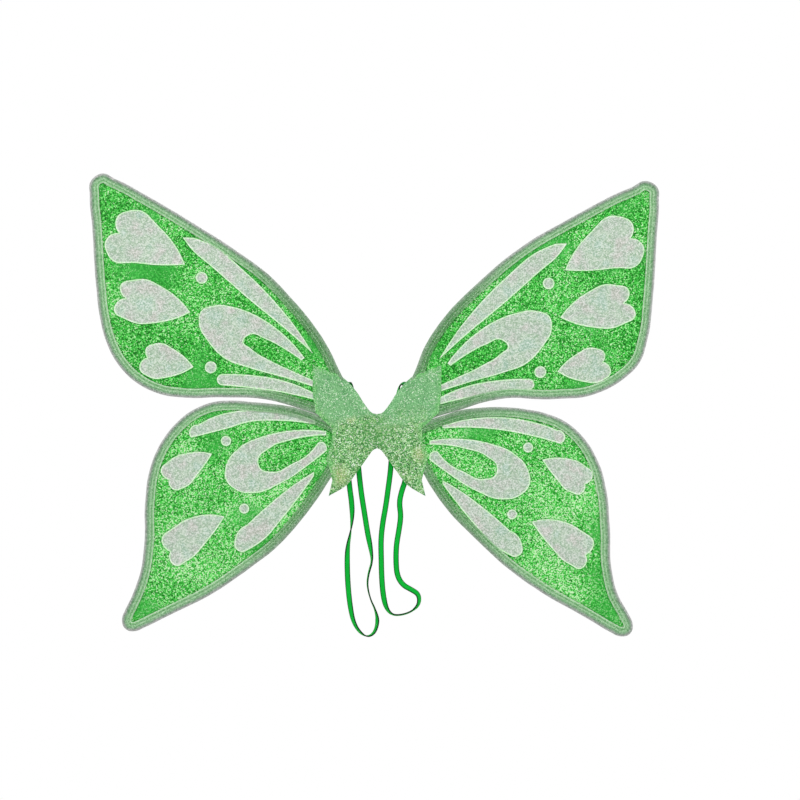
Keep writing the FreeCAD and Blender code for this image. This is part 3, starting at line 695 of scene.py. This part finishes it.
def elastic():
    """Bright green ribbed elastic, with painted shade on its edges and a painted shadow of the
    cover towards its upper sewn end.
    """
    paint = Paint("green_elastic", roughness=0.6, specular_ior_level=0.06)
    across, along = paint.stored("across"), paint.stored("along")
    ribs = paint.number("SINE", paint.number("MULTIPLY", across, 11.0), 0.0)
    knit = paint.number("SINE", paint.number("MULTIPLY", along, 7.0), 0.0)
    relief = paint.number("ADD", ribs, paint.number("MULTIPLY", knit, 0.5))
    # painted shade on the ribbon's edges, where it turns away from the light
    edge = paint.between(paint.number("ABSOLUTE", across, 0.0), 1.35, 2.35)
    face = paint.ramp(paint.between(relief, -1.5, 1.5), [
        (0.0, srgb(2, 168, 38)), (0.5, srgb(4, 202, 54)), (1.0, srgb(30, 226, 86))])
    patchy_and_shaded = paint.mix(paint.between(paint.cloud(12), 0.35, 0.75, 0.0, 0.25), face,
                     srgb(4, 156, 40))
    # painted shadow of the cover, darker towards the upper sewn end
    patchy_and_shaded = paint.mix(paint.between(along, 6.0, 26.0, 0.8, 0.0), patchy_and_shaded, srgb(0, 92, 40))
    paint.set("Base Color", paint.mix(edge, patchy_and_shaded, srgb(0, 58, 18)))
    paint.set("Normal", paint.bump(relief, 0.07))
    return paint.material


def wire_steel():
    """Drawn steel wire, grey with fine lengthwise drag marks."""
    paint = Paint("frame_wire", roughness=0.35, metallic=0.9)
    marks = paint.cloud(1.2, 5.0)
    paint.set("Base Color", paint.ramp(marks, [
        (0.3, srgb(96, 98, 104)), (0.7, srgb(150, 150, 156))]))
    paint.set("Normal", paint.bump(marks, 0.04))
    return paint.material


def card(name, dark, light, size):
    """Card or paper tape: fibres and small lumps."""
    paint = Paint(name, roughness=0.8)
    fibres = paint.cloud(size, 5.0, (3, 1, 1))
    paint.set("Base Color", paint.ramp(fibres, [(0.3, dark), (0.7, light)]))
    paint.set("Normal", paint.bump(fibres, 0.1))
    return paint.material


def floor_paint():
    paint = Paint("studio_floor", roughness=0.9)
    grain = paint.cloud(300, 2.0)
    paint.set("Base Color", paint.ramp(grain, [
        (0.3, srgb(236, 236, 236)), (0.7, srgb(244, 244, 244))]))
    return paint.material


GREEN, PEARL, CUT, BINDING = green_film(), pearl_film(), cut_edge(), binding_cloth()
THREAD, GLITTER, ELASTIC, STEEL = thread(), cover_glitter(), elastic(), wire_steel()
BACKING = weave("back_cloth", srgb(70, 150, 84), srgb(122, 190, 130), 0.35)
BOARD = card("stiffener_card", srgb(176, 170, 156), srgb(206, 200, 188), 2.0)
TAPE = card("wrap_tape", srgb(196, 190, 170), srgb(222, 216, 198), 1.0)


# ---------------------------------------- wings
def film_relief(points, depth, along, seed):
    """How far the slack film stands out of its plane: nothing under the hem, more inside.
    depth and along are each point's place in from the film's edge and along it."""
    loose = smoothstep(HEM_REACH, HEM_REACH + SLACK_REACH, depth)
    near = smoothstep(HEM_REACH - 1, HEM_REACH + 1.5, depth)
    billow = SLACK * loose * lumps(points, SLACK_SIZE, seed)
    crinkle = CRINKLE * near * lumps(points, CRINKLE_SIZE, seed + 7)
    gather = np.column_stack([along, depth * PUCKER_SLANT])
    fading = np.exp(-np.maximum(depth - HEM_REACH, 0) / PUCKER_REACH)
    return billow + crinkle + PUCKER * near * fading * lumps(gather, PUCKER_SIZE, seed + 3)


def window_draw(points, windows):
    """Moves window-edge points into the window, for the sloping cut edge of the layer."""
    draw, tree = np.zeros_like(points), tree_of(points)
    for loop in windows:
        ahead = unit_rows(np.roll(loop, -1, axis=0) - np.roll(loop, 1, axis=0))
        for place, (tx, tz) in zip(loop, ahead):
            draw[tree.find((*place, 0))[1]] = np.array([-tz, tx]) * CUT_EDGE
    return draw


def make_films(wing, seed):
    """Pearly film, and a green layer on each side with the pattern left open."""
    loops = front_loops(wing + "_front_glitter_film")
    outer = divided(loops[0], FILM_SPACING)
    windows = [divided(loop, WINDOW_SPACING) for loop in loops[1:]]
    points, triangles = triangulated([outer] + windows, [], FILM_SPACING)
    middles = points[triangles].mean(axis=1)
    open_part = np.any([inside(middles, loop) for loop in windows], axis=0)
    depth, along = nearest_on(points, np.vstack([loops[0], loops[0][:1]]))
    relief = MID_Y + film_relief(points, depth, along, seed)
    body = wing + "_wing"

    pearl = write_plate(wing + "_pearl_film_sheet", points, triangles, relief - PEARL_HALF,
                        relief + PEARL_HALF, [PEARL])
    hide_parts(wing + "_pearl_film")
    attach(pearl, body)

    draw = window_draw(points, windows)
    layers = []
    for word, way in (("front", -1), ("back", 1)):
        outside = relief + way * GLITTER_HALF
        against = relief + way * (PEARL_HALF + LAYER_GAP)
        near, far = (outside, against) if way < 0 else (against, outside)
        layer = write_plate(f"{wing}_{word}_glitter_layer", points, triangles[~open_part], near,
                            far, [GREEN, CUT], draw, depth)
        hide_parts(f"{wing}_{word}_glitter_film")
        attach(layer, body)
        layers.append(layer)
    return loops[0], pearl, layers


def inward_of(line):
    """The direction to the left of a line at each of its points."""
    ahead = np.gradient(line, axis=0)
    ahead = np.vstack([ahead[:1], (ahead[:-2] + ahead[1:-1] + ahead[2:]) / 3, ahead[-1:]])
    ahead = unit_rows(ahead)
    return np.column_stack([-ahead[:, 1], ahead[:, 0]])


def edge_frames(wing, loop):
    """The wing's outline as even points from the crease round to the crease, each with its
    direction inward."""
    place, across = crease_of(wing)
    reach = (loop - place) @ across
    on_cut = reach < reach.min() + ON_CUT
    start = np.flatnonzero(on_cut & ~np.roll(on_cut, -1))[0]
    loop, on_cut = np.roll(loop, -start, axis=0), np.roll(on_cut, -start)
    line = evenly(loop[:np.flatnonzero(on_cut)[1] + 1], EDGE_STEP)
    line = evenly(line - inward_of(line) * FILM_INSET, EDGE_STEP)
    return line, inward_of(line)


def make_binding(wing, line, inward, seed):
    """Shimmer tape folded over the wire and sewn flat on both sides of the film."""
    along = np.arange(len(line)) * EDGE_STEP
    spots = np.column_stack([along, along * 0])
    gather, sway = lumps(spots, GATHER_SIZE, seed), lumps(spots, SWAY_SIZE, seed + 2)
    ring = PROFILE + [(u, -h) for u, h in PROFILE[:0:-1]]
    points, insets = [], []
    for (x, z), (nx, nz), g, s in zip(line, inward, gather, sway):
        facing, far = smoothstep(*ROOT_FACING, abs(nz)), smoothstep(*ROOT_REACH, abs(x))
        bulge = ROOT_BULGE * facing * (1 - far)
        for u, h in ring:
            flat = u / PROFILE[-1][0]
            inset = u + (ROLL_SWAY * s - bulge) * (1 - flat) + HEM_WAVE * g * flat ** 4
            height = h * (1 + HEM_LIFT * g * smoothstep(*HEM_START, u)) + ROLL_RISE * s
            points.append((x + nx * inset, MID_Y - height, z + nz * inset))
            insets.append(u)
    faces = tube_faces(len(line), len(ring))
    made = write_piece(wing + "_binding_tape", points, faces, [BINDING])
    store(made, "inset", insets)
    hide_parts(wing + "_edge_binding")
    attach(made, wing + "_wing")
    return made


def stitch_rings(start, end, up, radius):
    """Points of one stitch: a short rounded thread that dips into the cloth at both ends."""
    run = end - start
    side = np.cross(run, up)
    side /= np.linalg.norm(side)
    points = []
    for share, lift, size in STITCH_SHAPE:
        middle = start + run * share + up * radius * lift
        for k in range(STITCH_SIDES):
            turn = math.radians(360 / STITCH_SIDES * k)
            points.append(middle + (side * math.cos(turn) + up * math.sin(turn)) * radius * size)
    return points


def stitch_faces(first):
    """The faces of the stitch whose points begin at first."""
    rings, sides = len(STITCH_SHAPE), STITCH_SIDES
    faces = [(first + i * sides + k, first + (i + 1) * sides + k,
              first + (i + 1) * sides + (k + 1) % sides, first + i * sides + (k + 1) % sides)
             for i in range(rings - 1) for k in range(sides)]
    last = first + (rings - 1) * sides
    ends = [tuple(range(first, first + sides)), tuple(range(last + sides - 1, last - 1, -1))]
    return faces + ends


def make_stitching(wing, line, inward):
    """Single stitches along the hem's seam, on the front and on the back."""
    seam = line + inward * SEAM
    along = lengths_along(seam)
    height = np.interp(SEAM, *zip(*PROFILE))
    points, faces = [], []
    for way in (-1, 1):
        up = np.array([0, way, 0])
        for start in np.arange(FIRST_STITCH, along[-1] - STITCH_PITCH, STITCH_PITCH):
            ends = [np.array([np.interp(at, along, seam[:, 0]), MID_Y + way * height,
                              np.interp(at, along, seam[:, 1])])
                    for at in (start, start + STITCH_LENGTH)]
            faces += stitch_faces(len(points))
            points += stitch_rings(ends[0], ends[1], up, THREAD_D / 2)
    made = write_piece(wing + "_hem_stitches", points, faces, [THREAD])
    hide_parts(wing + "_edge_stitching")
    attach(made, wing + "_wing")
    return made


def plate_area(loop):
    return abs(signed_area(loop)) * MM * MM


def make_wing(wing, seed):
    loop, pearl, layers = make_films(wing, seed)
    line, inward = edge_frames(wing, loop)
    binding = make_binding(wing, line, inward, seed)
    stitches = make_stitching(wing, line, inward)
    plate_area(loop)


# ---------------------------------------- cover
def cover_half(side):
    """One half of the cover, as on the right: points, triangles, which triangles are in the upper
    arm, and each point's distances from the free edge, the whole edge, the edge that lies on the
    film, and the ridges."""
    free, over, tips = [[smooth_run(run, COVER_SPACING) for run in runs]
                        for runs in (COVER_FREE, COVER_OVER_FILM, COVER_TIP)]
    middle = evenly(np.array([tips[-1][-1], free[0][0]], float), COVER_SPACING)
    runs = free + over + tips + [middle]
    outline = anticlockwise(np.vstack([run[:-1] for run in runs]))
    line = np.array(COVER_SPLITS[side], float)
    split = evenly(line, COVER_SPACING)
    split = split[inside(split, outline)]
    points, triangles = triangulated([outline], [split], COVER_SPACING)
    middles = points[triangles].mean(axis=1)
    upper = middles[:, 1] > np.interp(middles[:, 0], line[:, 0], line[:, 1])

    def gap_to(runs):
        return np.min([nearest_on(points, np.array(run, float))[0] for run in runs], axis=0)
    return (points, triangles, upper, gap_to(free + tips), gap_to(free + over + tips),
            gap_to(over), gap_to(RIDGES))


def front_cover_depth(points, free_gap, edge_gap, ridge):
    """The glitter cloth lies on the film, rides over the wires and their wrapped middle, and
    turns back at free edges."""
    pad = np.exp(-(np.linalg.norm(points / PAD_SIZE, axis=1)) ** 2)
    ridges = RIDGE_RISE * np.exp(-(ridge / RIDGE_REACH) ** 2)
    rise = COVER_LEVEL + ridges + COVER_LUMP * lumps(points, LUMP_SIZE, 11)
    rise = np.maximum(rise, PAD_LEVEL + PAD_RISE * pad)
    turned = 1 - smoothstep(0, TURN_REACH, free_gap)
    rise = rise + (TURN_LEVEL - rise) * turned
    out, height = np.abs(points[:, 0]), points[:, 1]
    wrapped = (1 - smoothstep(*WRAP_SIDE, out)) * smoothstep(*WRAP_FOOT, height)
    rise = np.maximum(rise, WRAP_LEVEL * wrapped * (1 - smoothstep(*WRAP_TOP, height)))
    return -(rise - FRONT_DIP * (1 - smoothstep(0, EDGE_REACH, edge_gap)))


def back_cover_depth(points, free_gap, edge_gap, ridge, across):
    """The plain cloth lies flat over the centre and steps down to the film on the arms."""
    pad = smoothstep(0, BACK_STEP, np.minimum(free_gap, -across + BACK_PAST))
    ridges = BACK_RIDGE * np.exp(-(ridge / RIDGE_REACH) ** 2)
    sunk = BACK_ARM_Y + ridges * smoothstep(*BACK_RIDGE_START, free_gap)
    raised = FLAT_RISE * (1 - smoothstep(*FLAT_EDGE, np.abs(points).max(axis=1)))
    dip = BACK_DIP * (1 - smoothstep(0, EDGE_REACH, edge_gap))
    return sunk + (BACK_Y + raised - sunk) * pad - dip


def make_cover_half(side, word):
    """The front and back cloths of both arms on one side."""
    points, triangles, upper, free_gap, edge_gap, film_gap, ridge = cover_half(side)
    place, across = crease_of("upper_right")
    beyond = (points - place) @ across
    front = front_cover_depth(points, free_gap, edge_gap, ridge)
    back = back_cover_depth(points, free_gap, edge_gap, ridge, beyond)
    flat = points * [side, 1]
    for level, kept in (("upper", upper), ("lower", ~upper)):
        faces = triangles[kept] if side > 0 else triangles[kept][:, ::-1]
        wing = f"{level}_{word}"
        for face, near, far, material, slot in (
                ("front", front, front + COVER_T, GLITTER, "cover_glitter_cloth"),
                ("back", back - COVER_T, back, BACKING, "back_cloth")):
            made = write_plate(f"{wing}_{face}_cover_cloth", flat, faces, near, far, [material],
                               depth=film_gap)
            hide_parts(f"{wing}_{face}_cover_arm", face + "_cover_centre")
            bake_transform(made)


# ---------------------------------------- straps
def spline_points(name, route):
    """Points along the smooth line of a route, read from its NURBS spline."""
    data = bpy.data.curves.new(name, "CURVE")
    data.dimensions = "3D"
    data.resolution_u = 16
    spline = data.splines.new("NURBS")
    spline.points.add(len(route) - 1)
    for point, place in zip(spline.points, route):
        point.co = (*(Vector(place) * MM), 1)
    spline.order_u = 3
    spline.use_endpoint_u = True
    holder = bpy.data.objects.new(name, data)
    bpy.context.scene.collection.objects.link(holder)
    bpy.context.view_layer.update()
    mesh = bpy.data.meshes.new_from_object(holder)
    found = np.array([tuple(v.co) for v in mesh.vertices]) / MM
    bpy.data.objects.remove(holder)
    return found


def ribbon_ring(width, thick):
    """The ribbon's cross-section as (across, through): flat faces with rounded edges."""
    a, b = width / 2, thick / 2
    half = [(-a, 0), (-a * 0.97, b * 0.7), (-a * 0.86, b), (-a * 0.4, b * 0.92), (0, b * 0.9),
            (a * 0.4, b * 0.92), (a * 0.86, b), (a * 0.97, b * 0.7)]
    return half + [(-u, -v) for u, v in half]


def write_ribbon(name, line, turns):
    """A flat elastic swept along a line of points. turns gives its turn in degrees at each."""
    ring = ribbon_ring(RIBBON_W, RIBBON_T)
    ahead = unit_rows(np.gradient(line, axis=0))
    side = np.array([1.0, 0, 0])
    points, across, along = [], [], []
    distance = lengths_along(line)
    for i, (place, way) in enumerate(zip(line, ahead)):
        level = np.array([-way[2], 0, way[0]])
        side = side + level * (RIBBON_LEVEL * np.sign(side.dot(level)))
        side = side - way * side.dot(way)
        side /= np.linalg.norm(side)
        face = np.cross(way, side)
        turn = math.radians(turns[i])
        u_way = side * math.cos(turn) + face * math.sin(turn)
        v_way = np.cross(way, u_way)
        for u, v in ring:
            points.append(place + u_way * u + v_way * v)
            across.append(u)
            along.append(distance[i])
    made = write_piece(name, points, tube_faces(len(line), len(ring)), [ELASTIC])
    store(made, "across", across)
    store(made, "along", along)
    return made


def make_strap(word, route, turns):
    line = evenly(spline_points(word + "_route", route), RIBBON_STEP)
    along, tree = lengths_along(line), tree_of(line)
    stops = [(along[tree.find(route[k])[1]], angle) for k, angle in sorted(turns.items())]
    turned = np.interp(along, *zip(*stops))
    made = write_ribbon(word + "_strap_ribbon", line, turned)
    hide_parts(word + "_strap_elastic")
    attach(made, word + "_strap")


def make_strap_end(level, word):
    """The elastic's folded end, sewn flat on the back, and its three bar tacks."""
    low, high = cad_box(f"strap_end_{level}_{word}")
    x, up = (low.x + high.x) / 2, 1 if level == "upper" else -1
    near, fold = (high.z, low.z + FOLD_INSET) if up > 0 else (low.z, high.z - FOLD_INSET)
    route = [(x, 0.1, near - 0.4 * up), (x, 0.1, (near + fold) / 2), (x, 0.1, fold),
             (x, 0.9, fold - 0.9 * up), (x, 1.6, fold), (x, 1.9, (near + fold) / 2),
             (x, 2.5, near - 1.6 * up), (x, 3.2, near)]
    line = evenly(spline_points("fold", route), FOLD_STEP)
    made = write_ribbon(f"{level}_{word}_strap_fold", line, np.zeros(len(line)))
    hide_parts(f"strap_end_{level}_{word}")
    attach(made, "centre")
    bars, faces = [], []
    for k in range(TACKS):
        z = (near + fold) / 2 + (k - 1) * TACK_PITCH
        ends = [np.array([x + s * TACK_HALF, TACK_Y, z]) for s in (-1, 1)]
        faces += stitch_faces(len(bars))
        bars += stitch_rings(ends[0], ends[1], np.array([0, 1.0, 0]), TACK_RADIUS)
    tack = write_piece(f"{level}_{word}_bar_tacks", bars, faces, [THREAD])
    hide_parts("strap_bar_tacks")
    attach(tack, "centre")


# ---------------------------------------- studio
def area_light(name, place, size, power):
    """A square light that faces the origin."""
    data = bpy.data.lights.new(name, "AREA")
    data.size, data.energy = size, power
    light = bpy.data.objects.new(name, data)
    light.location = place
    light.rotation_euler = (-Vector(place)).to_track_quat("-Z", "Y").to_euler()
    bpy.context.scene.collection.objects.link(light)


def make_studio():
    scene = bpy.context.scene
    world = bpy.data.worlds.new("studio")
    world.use_nodes = True
    world.node_tree.nodes["Background"].inputs[0].default_value = (1, 1, 1, 1)
    world.node_tree.nodes["Background"].inputs[1].default_value = 1.0
    scene.world = world
    scene.view_settings.view_transform = "Standard"
    for light in LIGHTS:
        area_light(*light)
    ring = [(FLOOR_RADIUS * math.cos(a), FLOOR_RADIUS * math.sin(a), FLOOR_Z)
            for a in np.linspace(0, 2 * math.pi, 64, endpoint=False)]
    floor = write_piece("studio_floor", np.array(ring) / MM, [range(64)], [floor_paint()])
    camera = bpy.data.objects.new("camera", bpy.data.cameras.new("camera"))
    camera.data.lens, camera.data.sensor_width = CAMERA_LENS, SENSOR_WIDTH
    camera.location = CAMERA_PLACE
    camera.rotation_euler = (math.pi / 2, 0, 0)
    scene.collection.objects.link(camera)
    scene.camera = camera


def finish_cad_nodes():
    """Materials for the CAD pieces that stay: wires, card and tape."""
    for name, made in frame["nodes"].items():
        if name.endswith("_frame_wire") or name.endswith("_wire_centre"):
            material = STEEL
        elif name == "stiffener_board":
            material = BOARD
        elif name == "wire_wrap_tape":
            material = TAPE
        else:
            continue
        made.data.materials.clear()
        made.data.materials.append(material)


make_studio()
make_strap("left", LEFT_ROUTE, LEFT_TURNS)
make_strap("right", RIGHT_ROUTE, RIGHT_TURNS)
for seed, wing in enumerate(WINGS):
    make_wing(wing, 1.7 + 3.1 * seed)
make_cover_half(1, "right")
make_cover_half(-1, "left")
for level in ("upper", "lower"):
    for word in ("right", "left"):
        make_strap_end(level, word)
finish_cad_nodes()
